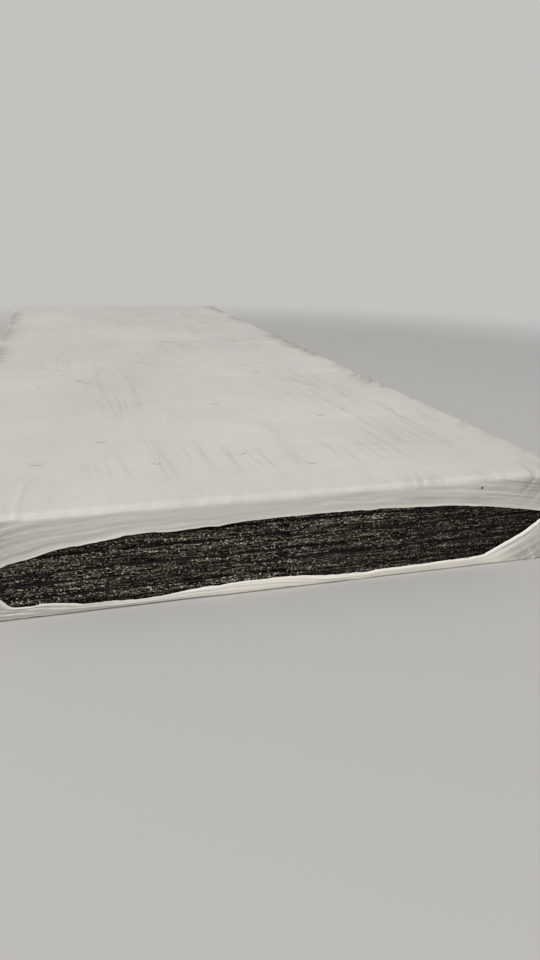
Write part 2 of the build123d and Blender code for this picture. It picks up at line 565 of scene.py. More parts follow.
def film_folds(section, p):
    """Folds of the film over its plain form, from the rings' arrays of values.

    Returns their height, where the flap over the floor is broad, and what the finish reads.
    """
    film = section.film
    at, x, y, z, lap, edge, end, out_z = (
        p[name] for name in ("at", "x", "y", "z", "lap", "edge", "end", "out_z"))
    top = np.clip(out_z, 0, 1)
    under = np.clip(-out_z, 0, 1)
    sides = np.abs(out_z) < 0.01
    past = np.maximum(edge, 0)
    on_end = 1 - ease(edge, -0.5, 2.5)

    # Folds that run out from the tips, over the short sides and round onto the long faces
    half = section.total / 2
    from_side = np.abs(np.mod(at + half / 2, half) - half / 2)
    gathered = 1 - ease(from_side, 26, 70)
    whole = lap - np.minimum(edge, 0) + 0.01  # from the lip to the rounded edge
    crowd = np.clip(lap / whole, 0.06, 1)
    slant = at + 0.12 * past
    folds = 0.7 * ridges(11, slant / GATHER_STEP, end)
    folds += 0.4 * ridges(12, slant / GATHER_FINE, end)
    gathers = film.gather_height / MM * gathered * crowd * np.exp(-past / 17) * folds

    # Tension lines along both lips, strongest near the tips
    across = -x * end
    from_tip = np.minimum(np.abs(across - LEFT_TIP[0]), np.abs(across - RIGHT_TIP[0]))
    pulled = np.maximum(np.exp(-from_tip / 60), 0.5 * under) * on_end * (1 - gathered * 0.6)
    broad = under * on_end * ease(whole, 8, 17)
    lines = (0.6 * pulled + 0.5 * broad) * ridges(
        21, lap / LIP_STEP + 0.5 * noise(22, x / 30), x / 90)

    # Soft bands across the flap above the opening
    bands = on_end * top * (
        0.20 * noise(31, lap / 4.2, x / 45) + 0.12 * noise(32, lap / 1.7, x / 14))

    # The lower lip is a soft roll that bulges between the opening and the floor
    roll = on_end * under * (0.55 + 0.3 * noise(41, x / 14)) * np.sin(
        math.pi * np.clip(lap / whole, 0, 1) ** 0.8)

    # Pleats where the film turns over the end edges
    patch = 0.35 + 0.65 * ease(noise(51, at / 38, end), -0.4, 0.5)
    pleats = PLEAT_HEIGHT * patch * np.exp(-past / 20) * (1 - 0.75 * on_end) * (
        0.6 * ridges(52, (at + 0.3 * past) / PLEAT_STEP)
        + 0.4 * ridges(53, (at - 0.2 * past) / PLEAT_FINE))

    # Slanting drag folds on the long edges
    drags, slide, slide_worn = 0 * past, 0 * past, 0 * past
    for number, corner in enumerate(section.corners):
        away = at - corner
        worn = 0.15 + 0.85 * ease(noise(61 + number, y / 60), -0.7, 0.45)
        along = y + 1.3 * np.abs(away) + 3 * noise(80 + number, y / 30)
        height = film.drag_height / MM * (1.0 if number > 1 else 0.6)
        close = np.exp(-((away / EDGE_WEAR) ** 2))
        drags += height * worn * close * ridges(65 + number, along / DRAG_STEP)
        nearest = np.abs(away) < 40
        slide = np.where(nearest, along, slide)
        slide_worn = np.where(nearest, worn * close, slide_worn)

    # Long soft waves, and thin creases that wander along the bundle
    waves = 0.5 * noise(71, x / 62, y / 130, z / 40) + 0.2 * noise(
        72, x / 24, y / 70, z / 22)
    bent = noise(73, x / 85 + 0.4 * noise(74, y / 90), y / 240)
    creases = CREASE_HEIGHT * np.exp(-((bent / 0.05) ** 2)) * (1 - on_end)
    wander = at + 9 * noise(75, y / 140, at / 60)
    lengthwise = ease(noise(76, at / 45, y / 95), -0.1, 0.5) * (1 - on_end)

    # The film sags a little into the top shingle's cut-outs
    sag = film.sag / MM * top * (out_z > 0.99) * sampled(p["sag"], x, y)

    # A crumpled tuck where the film is drawn together at each tip
    tuck = 0 * past
    for tip_x, tip_z in (LEFT_TIP, RIGHT_TIP):
        away = np.hypot(x + end * tip_x, z - tip_z)
        tuck += np.exp(-((away / TUCK_RADIUS) ** 2))
    tuck *= on_end * (1.1 + 1.6 * ridges(91, at / TUCK_STEP, end))

    # The lip bends in round a small radius
    bend = film.lip_radius / MM
    inside = np.clip(1 - lap / bend, 0, 1)
    lip = -bend * (1 - np.sqrt(1 - inside**2))

    total = gathers + lines + bands + roll + pleats + drags + waves + creases + tuck
    total = np.where(end < 0, total, BACK_FOLDS * total)
    squares = p["n"].T ** 2
    tight = SINK_TOP * squares[2] + SINK_SIDE * squares[0] + SINK_END * squares[1]
    total = np.maximum(total, -tight) - sag + lip
    # How far the folds sink, which sets the painted shade in their valleys
    valley_shade = np.clip(-(gathers + lines + pleats + 1.4 * drags) / 0.35, 0, 1)
    return total, broad, {
        "valley_shade": valley_shade, "on_end": on_end,
        "fan": slant, "fan_worn": gathered * crowd * np.exp(-past / 17),
        "drawn": lap, "drawn_worn": np.maximum(pulled, 0.35 * on_end * top),
        "slide": slide, "slide_worn": slide_worn * (1 - on_end),
        "wander": wander, "wander_worn": 0.3 * lengthwise * ease(past, 25, 70),
        "vent_room": (past > 45) * (slide_worn < 0.3) * np.where(sides, 1.0, 0.4),
    }


def film_sleeve():
    """The whole sleeve as one sheet, open at the two eyes."""
    section = Section()
    rows = sleeve_rows(section)
    p = {key: np.concatenate([row[key] for row in rows]) for key in rows[0]}
    p["sag"] = sag_field()
    height, broad, fields = film_folds(section, p)
    points = np.stack([p["x"], p["y"], p["z"]], axis=-1) + height[:, None] * p["n"]
    points[:, 2] = np.maximum(points[:, 2], OFF_FLOOR)
    # The lip is lighter at its thin edge, thicker film with a painted highlight, and the lower lip is
    # painted lighter as a highlight where it bulges up towards the light, less where its flap is broad
    under = np.clip(-p["out_z"], 0, 1) * (p["edge"] < 1.5)
    thick = 0.9 * under * (1 - 0.75 * broad)
    fields["lip"] = np.maximum(np.exp(-((p["lap"] / LIP_WIDTH) ** 2)), thick)
    made = mesh_object("film_sleeve", points, ring_faces(rows), fields)
    made.data.materials.append(film_finish())
    return made


# Fine folds drawn by the finish, as relief with painted shade in their creases: the attribute that
# runs across them in millimetres, the one that says how strong they are, their spacing and length
# in millimetres, and their relief
FINE_FOLDS = (("fan", "fan_worn", 2.6, 36, 1.0), ("drawn", "drawn_worn", 1.5, 60, 0.6),
              ("slide", "slide_worn", 5.2, 36, 1.0), ("wander", "wander_worn", 7.0, 240, 0.5))
CREASE = 0.07  # a crease's half width, as the noise's distance from its middle value


def fine_folds(add, place, across, worn, spacing, reach):
    """Thin creases with a given spacing across the direction that they run in."""
    turned = add("ShaderNodeMath", {0: across, 1: 1 / spacing}, operation="MULTIPLY")
    run = add("ShaderNodeCombineXYZ", {"X": turned})
    where = add("ShaderNodeVectorMath", {
        0: place, 1: 3 * (1 / (reach * MM),), 2: run}, operation="MULTIPLY_ADD")
    pattern = add("ShaderNodeTexNoise", {"Vector": where, "Scale": 1.0, "Detail": 1.5})
    off = add("ShaderNodeMath", {0: pattern, 1: 0.5}, operation="SUBTRACT")
    distance = add("ShaderNodeMath", {0: off}, operation="ABSOLUTE")
    crease = add("ShaderNodeMapRange", {
        "Value": distance, "From Min": 0.0, "From Max": CREASE, "To Min": 1.0, "To Max": 0.0},
                 interpolation_type="SMOOTHSTEP")
    return add("ShaderNodeMath", {0: crease, 1: worn}, operation="MULTIPLY")


def scattered_cores(add, place, scale, share, radius):
    """1 within small round cores at the middle of a share of the cells of a pattern."""
    cells = add("ShaderNodeTexVoronoi", {"Vector": place, "Scale": scale})
    draw = add("ShaderNodeSeparateColor", {"Color": cells.outputs["Color"]})
    chosen = add("ShaderNodeMath", {0: draw, 1: 1 - share}, operation="GREATER_THAN")
    core = add("ShaderNodeMapRange", {
        "Value": cells, "From Min": radius, "From Max": 1.3 * radius, "To Min": 1.0, "To Max": 0.0})
    return add("ShaderNodeMath", {0: chosen, 1: core}, operation="MULTIPLY")


def film_finish():
    """Blown polyethylene film, white, shrunk tight with heat.

    It is a satin plastic: broad soft highlights that break up on its wrinkles, painted shade in
    the valleys and creases of its folds, and a brighter lip: thicker where it has shrunk together,
    and painted lighter as a highlight, most of all on the lower lip.
    """
    found = bpy.data.materials.get("Shrunk White Polyethylene Film")
    if found:
        return found
    material, add, shader = new_material("Shrunk White Polyethylene Film")
    place = add("ShaderNodeTexCoord").outputs["Object"]
    given = {name: add("ShaderNodeAttribute", attribute_name=name).outputs["Fac"] for name in (
        "on_end", "valley_shade", "lip", "rim", *(name for fold in FINE_FOLDS for name in fold[:2]))}

    # Noise: clouds of about 120 mm, spots of about 18 mm, patches of about 45 mm where the
    # film is worn, crooked lines, and the prickle of granules beneath
    clouds, spots, patches, crook, grains = (
        add("ShaderNodeTexNoise", {"Vector": place, "Scale": scale, "Detail": detail})
        for scale, detail in ((8.0, 3.0), (55.0, 4.0), (22.0, 2.0), (60.0, 1.0), (420.0, 2.0)))

    # Streaks about 0.8 mm wide and 30 mm long, along the bundle or across its ends
    lengthwise, crosswise = (
        add("ShaderNodeMapping", {"Vector": place, "Scale": scale})
        for scale in ((1250.0, 33.0, 1250.0), (28.0, 1250.0, 900.0)))
    direction = add("ShaderNodeMix", {
        "Factor": given["on_end"], "A": lengthwise, "B": crosswise}, data_type="VECTOR")
    streak = add("ShaderNodeTexNoise", {"Vector": direction, "Scale": 1.0, "Detail": 2.0})

    warm, worn, scuffed, rough = (
        add("ShaderNodeMapRange", {
            "Value": value, "From Min": low, "From Max": high, "To Min": least, "To Max": most})
        for value, low, high, least, most in (
            (spots, 0.45, 0.75, 0.0, 0.35), (patches, 0.52, 0.62, 0.0, 0.7),
            (streak, 0.66, 0.78, 0.0, 1.0), (spots, 0.3, 0.7, 0.28, 0.44)))
    thin = add("ShaderNodeMath", {0: crook, 1: 0.5, 2: 0.012}, operation="COMPARE")
    creases = [
        (fine_folds(add, place, given[across], given[strength], spacing, reach), height)
        for across, strength, spacing, reach, height in FINE_FOLDS]

    # Tints laid over one another, each by the product of two shares
    colour = add("ShaderNodeValToRGB", {"Fac": clouds})
    set_stops(colour, [(0.3, "C4C1BB"), (0.7, "D1CEC8")])
    for share, other, code in (
        (warm, 1.0, "C9BFB7"),
        (given["valley_shade"], spots, "7E7568"),  # painted shade in the valleys of the folds
        (scuffed, worn, "8C867D"),  # fine scuffs
        (scattered_cores(add, place, 22.0, 0.10, 0.07), 0.5, "8F7F6C"),  # stains of about 6 mm
        (scattered_cores(add, place, 60.0, 0.05, 0.05), 1.0, "3A352F"),  # nicks of under 2 mm
        # Short black scratches, which only show inside a few patches of 8 mm
        (thin, scattered_cores(add, place, 26.0, 0.12, 0.11), "2E2A26"),
        (given["slide_worn"], spots, "A79E90"),  # dust where the bundles rub on each other
        # Painted shade in the fine creases
        *((crease, spots, "6E6558") for crease, _ in creases),
        (given["rim"], 1.0, "A3958C"),
        # Lighter lip: thicker film and a painted highlight
        (given["lip"], 1.0, "EFE9DE"),
    ):
        amount = add("ShaderNodeMath", {0: share, 1: other}, operation="MULTIPLY")
        colour = add("ShaderNodeMix", {"Factor": amount, "A": colour, "B": linear(code)},
                     data_type="RGBA")

    # Relief: the fine folds, soft puckers of about 9 mm, grains and streaks
    pucker = add("ShaderNodeTexNoise", {
        "Vector": place, "Scale": 110.0, "Detail": 3.0}, noise_type="RIDGED_MULTIFRACTAL")
    crumpled = add("ShaderNodeMath", {0: pucker, 1: worn}, operation="MULTIPLY")
    relief = 0.0
    for pattern, height in (*((crease, -height) for crease, height in creases), (pucker, 0.1),
                            (crumpled, 0.35), (grains, 0.35), (streak, 0.15)):
        relief = add("ShaderNodeMath", {0: pattern, 1: height, 2: relief}, operation="MULTIPLY_ADD")
    bump = add("ShaderNodeBump", {"Height": relief, "Strength": 0.5, "Distance": 0.25 * MM})
    feed(shader, {"Base Color": colour, "Roughness": rough, "IOR": 1.51, "Normal": bump})
    return material


# Vents

RING_STEPS = 32
# Rings of a vent from the middle out: share of its width, lift over the film as a share
# of the ridge, and how much of the outline's colour it has
VENT_RINGS = ((0.0, 0.4, 0), (0.27, 0.4, 0), (0.33, 0.3, 0), (0.40, 0.45, 0), (0.43, 0.8, 0.55),
              (0.46, 1.0, 0.4), (0.49, 0.6, 0.15), (0.53, -0.3, 0))
SLIT_RING = 1  # the slit lies between this ring and the next
SLIT_HALF_ANGLE = 62.0  # degrees to each side of the ring's lowest point


def vent_template(width, ridge):
    """One vent lying flat: a low ring, and a half-moon slit in its lower side painted as shadow."""
    vertices, faces, lift, rim, slit = [(0.0, 0.0, 0.0)], [], [VENT_RINGS[0][1]], [0.0], []
    for share, height, tint in VENT_RINGS[1:]:
        for step in range(RING_STEPS):
            angle = 2 * math.pi * step / RING_STEPS
            vertices.append((share * width * math.cos(angle), share * width * math.sin(angle), 0.0))
            lift.append(height * (1 - 0.5 * math.sin(angle)))
            rim.append(tint)
    for step in range(RING_STEPS):
        faces.append((0, 1 + step, 1 + (step + 1) % RING_STEPS))
        slit.append(False)
    for ring in range(1, len(VENT_RINGS) - 1):
        inner, outer = 1 + (ring - 1) * RING_STEPS, 1 + ring * RING_STEPS
        for step in range(RING_STEPS):
            after = (step + 1) % RING_STEPS
            faces.append((inner + step, outer + step, outer + after, inner + after))
            turn = abs((360 * (step + 0.5) / RING_STEPS) - 270)
            slit.append(ring == SLIT_RING and turn < SLIT_HALF_ANGLE)
    made = mesh_object("vent_template", vertices, faces, {
        "lift": np.array(lift) * ridge * MM, "rim": rim})
    # The slit's faces are not cut out: they get the painted black of shingle in shadow
    layer = made.data.attributes.new("slit", "BOOLEAN", "FACE")
    layer.data.foreach_set("value", slit)
    return made


def vent_shadow():
    """What shows through a vent's slit: black shingle in shadow."""
    material, _, shader = new_material("Vent Slit")
    feed(shader, {"Base Color": linear("14110F"), "Roughness": 0.8})
    return material


# Cut ends of the shingles

EYE_MARGIN = 4.0  # felt is made this far under the film
# The band of bare dark felt that this leaves below the upper lip is a painted shadow of the lip
GRIT_MARGINS = (2.2, 1.2)  # granules start this far below the lower lip and end below the upper
# Section of the felt on one ply's end: how far up it, and how far out as a share of the
# reach where the next ply is loose, and where it is glued on
PROFILE = ((0.0, -1.1, -1.1), (0.0, 0.25, 0.7), (0.2, 0.9, 0.95), (0.5, 1.0, 1.0),
           (0.8, 0.95, 0.95), (1.0, 0.3, 0.7), (1.0, -1.1, -1.1))
LOOSE_GAP, GLUED_GAP = 0.08, 0.07  # empty share of a ply's thickness at a joint of each kind
JOINT_REACH = 0.13  # share of a ply beside a loose joint that has few granules
TOP_PLY_TONE = 0.12  # a pair's uppermost ply is this much darker than the others
OVERHANG = 0.9  # felt and asphalt that hang over the long edge of a backing strip
# The second is painted shade in the narrow corner of the opening by its right tip
RIGHT_PART, RIGHT_CORNER = (45, 125), (125, 160)  # distances over which the tones darken
PLIES = 4  # in a nested pair, which is only three plies high
FILM_ROOM = 1.4  # felt stays this far inside the film's end


def lip_heights(across):
    """Heights of the eye's lower and upper lips at distances across the bundle."""
    lower = np.array([LEFT_TIP, *LOWER_LIP, RIGHT_TIP])
    upper = np.array([LEFT_TIP, *UPPER_LIP, RIGHT_TIP])
    return (np.interp(across, lower[:, 0], lower[:, 1]), np.interp(across, upper[:, 0], upper[:, 1]))


def pair_plies(pair):
    """The plies of a nested pair.

    Each is its node, left and right, its height in plies at left and right, and the sides
    of the middle (-1 or 1, or 0 for none) on which it is glued below and above.
    """
    lower, upper = PAIRS[pair]
    gap = bpy.context.scene.bundle_edges.strip_gap / MM / 2 - OVERHANG
    left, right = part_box(lower)[0].x / MM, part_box(lower)[1].x / MM
    middle = (left + right) / 2
    return (
        (lower, left, middle - gap, 0, 0, 0, -1),
        (lower, left, right, 1, 0, -1, 0),
        (upper, middle + gap, right, 1, 1, 0, 1),
        (upper, left, right, 2, 2, 1, 0),
    )


def felt_strip(pair, number, back, step):
    """Torn felt on the end of one of a pair's plies.

    Returns its rows of points, which of its columns the eye shows, and what the finish and
    the granules read.
    """
    settings = bpy.context.scene.bundle_edges
    reach, wave, gap = settings.reach / MM, settings.wave / MM, settings.strip_gap / MM
    node, left, right, low, high, glued_under, glued_over = pair_plies(pair)[number]
    seed = 100 * pair + 10 * number + (7 if back else 0)
    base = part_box(PAIRS[pair][0])[0].z / MM
    end = abs(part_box(node)[1 if back else 0].y / MM)
    tips = sorted((-1 if back else 1) * tip for tip in (
        LEFT_TIP[0] - EYE_MARGIN, RIGHT_TIP[0] + EYE_MARGIN))
    x = np.arange(max(left, tips[0]), min(right, tips[1]), step)
    across = -x if back else x  # as seen from outside the end

    # The ply's floor steps down between the strips; the ply wanders, swells and is torn off
    middle = (left + right) / 2 if low != high else 0
    floor = base + PLY * (low + (high - low) * ease(x, middle - gap / 2, middle + 0.5))
    level = wave * (noise(seed + 1, x / 17) + 0.5 * noise(seed + 2, x / 5))
    level = level + wave * noise(3 if back else 2, x / 36, pair / 3)
    thick = PLY * (1 + 0.12 * noise(seed + 3, x / 9) + 0.10 * noise(seed + 4, x / 2.2))
    run = 0.45 * noise(seed + 5, x / 33) + 0.25 * noise(seed + 6, x / 6)
    torn = ease(noise(seed + 7, x / 11), 0.45, 0.75)
    under, over = ((x * glued > 0).astype(float) for glued in (glued_under, glued_over))
    bottom = LOOSE_GAP + (GLUED_GAP - LOOSE_GAP) * under
    top = 1 - LOOSE_GAP + (LOOSE_GAP - GLUED_GAP) * over
    rows = []
    for row, (share, loose, glued) in enumerate(PROFILE):
        out = loose + (glued - loose) * (under if share < 0.5 else over)
        rough = 0.5 * noise(seed + 8, x / 1.3, row * 1.7)
        rough = rough + 0.35 * noise(seed + 9, x / 0.6, row * 2.3)
        showing = loose >= 0
        depth = reach * (out + rough * showing) + (run - 0.5 * torn) * showing
        z = floor + level + (bottom + share * (top - bottom)) * thick
        z = z + 0.10 * noise(seed + 9, x / 0.9, row * 3.1)
        y = end + np.minimum(depth, HALF_LENGTH - FILM_ROOM - end)
        rows.append(np.stack([x, y if back else -y, z], axis=-1))
    rows = np.array(rows)

    # Granules lie where the film leaves them room, away from loose joints and in patches, but not in
    # a band below the upper lip, whose bare dark felt is a painted shadow of the lip
    lower, upper = lip_heights(across)
    open_and_unshaded = rows[:, :, 2] > lower - GRIT_MARGINS[0]
    open_and_unshaded &= rows[:, :, 2] < upper - GRIT_MARGINS[1]
    shares, showing = (
        np.array(column)[:, None] + 0 * x
        for column in ([row[0] for row in PROFILE], [row[1] >= 0 for row in PROFILE]))
    right = ease(across, *RIGHT_PART)
    joints = np.exp(-((shares / JOINT_REACH) ** 2)) * (1 - under)
    joints += np.exp(-(((1 - shares) / JOINT_REACH) ** 2)) * (1 - over)
    joints *= 1 - 0.5 * right
    patchy = ease(noise(seed % 13, x / 26, pair / 2.5), -0.6, 0.5)

    # Each shingle has tones of its own; all are made darker towards the right of the end, and darker
    # still by painted shade in the narrow corner by the right tip
    shingle = 20 * pair + (10 if number > 1 else 0) + (7 if back else 0)
    shade = 0.30 * noise(shingle, x / 26) + 0.14 * noise(seed + 11, x / 14)
    shade = 0.61 + shade * (1 - 0.6 * right) - TOP_PLY_TONE * (number == 3)
    shade = shade - 0.26 * right - 0.12 * ease(across, *RIGHT_CORNER)
    seen = (floor + PLY > lower - EYE_MARGIN) & (floor < upper + EYE_MARGIN)
    return rows, seen, {
        "grit": open_and_unshaded * showing * (1 - joints) * (0.75 + 0.25 * patchy),
        "body": 1 - joints, "pale": np.clip(shade + 0 * shares, 0, 1)}


def felt_edges(name, back, step):
    """Torn felt standing out of every ply at one end, as strips with rough faces."""
    vertices, faces, values = [], [], []
    first = 0
    for pair, number in itertools.product(range(len(PAIRS)), range(PLIES)):
        rows, seen, fields = felt_strip(pair, number, back, step)
        count = rows.shape[1]
        for row, k in itertools.product(range(len(rows) - 1), np.flatnonzero(seen[:-1]).tolist()):
            a = first + row * count + k
            quad = (a, a + 1, a + count + 1, a + count)
            faces.append(quad[::-1] if back else quad)
        vertices.append(rows.reshape(-1, 3))
        values.append(fields)
        first += len(rows) * count
    made = mesh_object(name, np.vstack(vertices), faces, {
        field: np.concatenate([strip[field].ravel() for strip in values]) for field in values[0]})
    made.data.validate()
    made.data.materials.append(felt_finish())
    return made


def felt_finish():
    """Glass-fibre felt soaked in filled asphalt, sheared off with a knife.

    Almost black and dull, greyer where the ground limestone in the asphalt has smeared.
    """
    found = bpy.data.materials.get("Sheared Asphalt Felt")
    if found:
        return found
    material, add, shader = new_material("Sheared Asphalt Felt")
    place = add("ShaderNodeTexCoord").outputs["Object"]
    body, pale = (add("ShaderNodeAttribute", attribute_name=name).outputs["Fac"]
                  for name in ("body", "pale"))
    # Smears of about 9 mm along a ply and 0.5 mm across it
    drawn = add("ShaderNodeMapping", {"Vector": place, "Scale": (110.0, 600.0, 1900.0)})
    smear = add("ShaderNodeTexNoise", {"Vector": drawn, "Scale": 1.0, "Detail": 2.0})
    streak = add("ShaderNodeMapRange", {"Value": smear, "From Min": 0.3, "From Max": 0.7})
    # Grit of about 0.7 mm
    grit = add("ShaderNodeTexNoise", {"Vector": place, "Scale": 1500.0, "Detail": 3.0})
    # Specks of ground limestone of about 0.5 mm, of which a quarter are pale
    specks = add("ShaderNodeTexVoronoi", {"Vector": place, "Scale": 2000.0})
    draw = add("ShaderNodeSeparateColor", {"Color": specks.outputs["Color"]})
    tone = add("ShaderNodeMapRange", {
        "Value": draw, "From Min": 0.74, "From Max": 1.0, "To Min": -0.04, "To Max": 0.10})
    # The ply's tone carries the painted shade by the right tip
    for share, amount in ((streak, grit), (body, 0.12), (pale, 0.16)):
        tone = add("ShaderNodeMath", {0: share, 1: amount, 2: tone}, operation="MULTIPLY_ADD")
    colour = add("ShaderNodeValToRGB", {"Fac": tone})
    set_stops(colour, [
        (0.24, "040302"), (0.38, "15120F"), (0.52, "463F35"), (0.70, "8C8374")])
    bump = add("ShaderNodeBump", {"Height": grit, "Strength": 0.9, "Distance": 0.35 * MM})
    feed(shader, {"Base Color": colour, "Normal": bump, "Roughness": 0.85,
                        "Specular IOR Level": 0.1})
    return material


def granule_finish():
    """Crushed rock with a baked ceramic coat, mostly black, some grey, brown or green.

    Each stone has one dull colour of its own.
    """
    found = bpy.data.materials.get("Ceramic Coated Granules")
    if found:
        return found
    material, add, shader = new_material("Ceramic Coated Granules")
    tone = add("ShaderNodeAttribute", attribute_name="tone").outputs["Fac"]
    colour = add("ShaderNodeValToRGB", {"Fac": tone})
    set_stops(colour, [
        (0.0, "080706"), (0.24, "16130F"), (0.36, "3F3931"), (0.46, "6C6254"), (0.54, "776755"),
        (0.6, "A09786"), (0.67, "888D79"), (0.76, "BDB5A5"), (1.0, "DDD6C6")])
    feed(shader, {"Base Color": colour, "Roughness": 0.62, "Specular IOR Level": 0.35})
    return material


def shingle_finish():
    """Mineral surfaced roofing felt: granules of about 1.3 mm pressed into asphalt."""
    material, add, shader = new_material("Mineral Surfaced Asphalt Shingle")
    place = add("ShaderNodeTexCoord").outputs["Object"]
    grains = add("ShaderNodeTexVoronoi", {"Vector": place, "Scale": 780.0})
    tone = add("ShaderNodeSeparateColor", {"Color": grains.outputs["Color"]})
    blend = add("ShaderNodeTexNoise", {"Vector": place, "Scale": 14.0, "Detail": 3.0})
    mixed = add("ShaderNodeMath", {0: tone, 1: blend}, operation="MULTIPLY")
    surface = add("ShaderNodeValToRGB", {"Fac": mixed})
    set_stops(surface, [
        (0.0, "0C0B0A"), (0.3, "1A1816"), (0.48, "34312C"), (0.62, "6B665C")])
    # The cut ends, all more than 516 mm from the middle, are bare asphalt without granules
    along = add("ShaderNodeSeparateXYZ", {"Vector": place}).outputs["Y"]
    from_middle = add("ShaderNodeMath", {0: along}, operation="ABSOLUTE")
    cut = add("ShaderNodeMath", {0: from_middle, 1: 516 * MM}, operation="GREATER_THAN")
    bump = add("ShaderNodeBump", {
        "Height": grains, "Strength": 0.7, "Distance": 0.4 * MM}, invert=True)
    colour = add("ShaderNodeMix", {"Factor": cut, "A": surface, "B": linear("080706")},
                 data_type="RGBA")
    feed(shader, {"Base Color": colour, "Normal": bump, "Roughness": 0.8})
    return material


# Geometry Nodes

def new_tree(name, inputs):
    """A Geometry Nodes tree with named inputs, and a function that adds nodes to it."""
    tree = bpy.data.node_groups.new(name, "GeometryNodeTree")
    tree.interface.new_socket("Geometry", in_out="OUTPUT", socket_type="NodeSocketGeometry")
    for label, kind in {"Geometry": "Geometry", **inputs}.items():
        tree.interface.new_socket(label, in_out="INPUT", socket_type="NodeSocket" + kind)
    add = functools.partial(add_node, tree)
    return tree, add, add("NodeGroupInput").outputs


def baked(name, carrier, tree, values):
    """A plain mesh of what a tree makes on a carrier object."""
    modifier = carrier.modifiers.new(tree.name, "NODES")
    modifier.node_group = tree
    for item in tree.interface.items_tree:
        if item.item_type == "SOCKET" and item.in_out == "INPUT" and item.name in values:
            modifier[item.identifier] = values[item.name]
    bpy.context.view_layer.update()
    graph = bpy.context.evaluated_depsgraph_get()
    mesh = bpy.data.meshes.new_from_object(carrier.evaluated_get(graph), depsgraph=graph)
    carrier.modifiers.remove(modifier)
    mesh.name = name
    made = bpy.data.objects.new(name, mesh)
    bpy.context.scene.collection.objects.link(made)
    return made


def granule_tree():
    """Crushed stones scattered over a surface where its 'grit' attribute allows."""
    tree, add, given = new_tree("Scatter Granules", {
        "Granules per square metre": "Float", "Smallest": "Float", "Largest": "Float",
        "Seed": "Int", "Finish": "Material"})
    grit, pale = (add("GeometryNodeInputNamedAttribute", {"Name": name}, data_type="FLOAT")
                  for name in ("grit", "pale"))
    density = add("ShaderNodeMath", {
        0: grit, 1: given["Granules per square metre"]}, operation="MULTIPLY")
    points = add("GeometryNodeDistributePointsOnFaces", {
        "Mesh": given["Geometry"], "Density": density, "Seed": given["Seed"]},
                 distribute_method="RANDOM")

    # Each stone's tone: a draw of its own, scaled by how pale its ply is there, painted shade included
    draw = add("FunctionNodeRandomValue", {"Seed": 3}, data_type="FLOAT")
    span = add("ShaderNodeMath", {0: pale, 1: 1.1, 2: 0.32}, operation="MULTIPLY_ADD")
    tone = add("ShaderNodeMath", {0: draw, 1: span}, operation="MULTIPLY")
    kept = add("GeometryNodeStoreNamedAttribute", {
        "Geometry": points, "Name": "tone", "Value": tone}, data_type="FLOAT", domain="POINT")

    # One crushed stone, two units long and nearly one wide, that lies roughly along its ply
    stone = add("GeometryNodeMeshUVSphere", {"Segments": 4, "Rings": 2, "Radius": 0.5})
    crushed = add("GeometryNodeTransform", {"Geometry": stone, "Scale": (2.0, 0.9, 0.65)})
    size = add("FunctionNodeRandomValue", {
        "Min": given["Smallest"], "Max": given["Largest"], "Seed": 5}, data_type="FLOAT")
    spin = add("FunctionNodeRandomValue", {
        "Min": (-3.14, -0.4, -0.5), "Max": (3.14, 0.4, 0.5), "Seed": 7}, data_type="FLOAT_VECTOR")
    stones = add("GeometryNodeInstanceOnPoints", {
        "Points": kept, "Instance": crushed, "Rotation": spin, "Scale": size})
    real = add("GeometryNodeRealizeInstances", {"Geometry": stones})
    flat = add("GeometryNodeSetShadeSmooth", {"Geometry": real, "Shade Smooth": False})
    done = add("GeometryNodeSetMaterial", {"Geometry": flat, "Material": given["Finish"]})
    add("NodeGroupOutput", {"Geometry": done})
    return tree


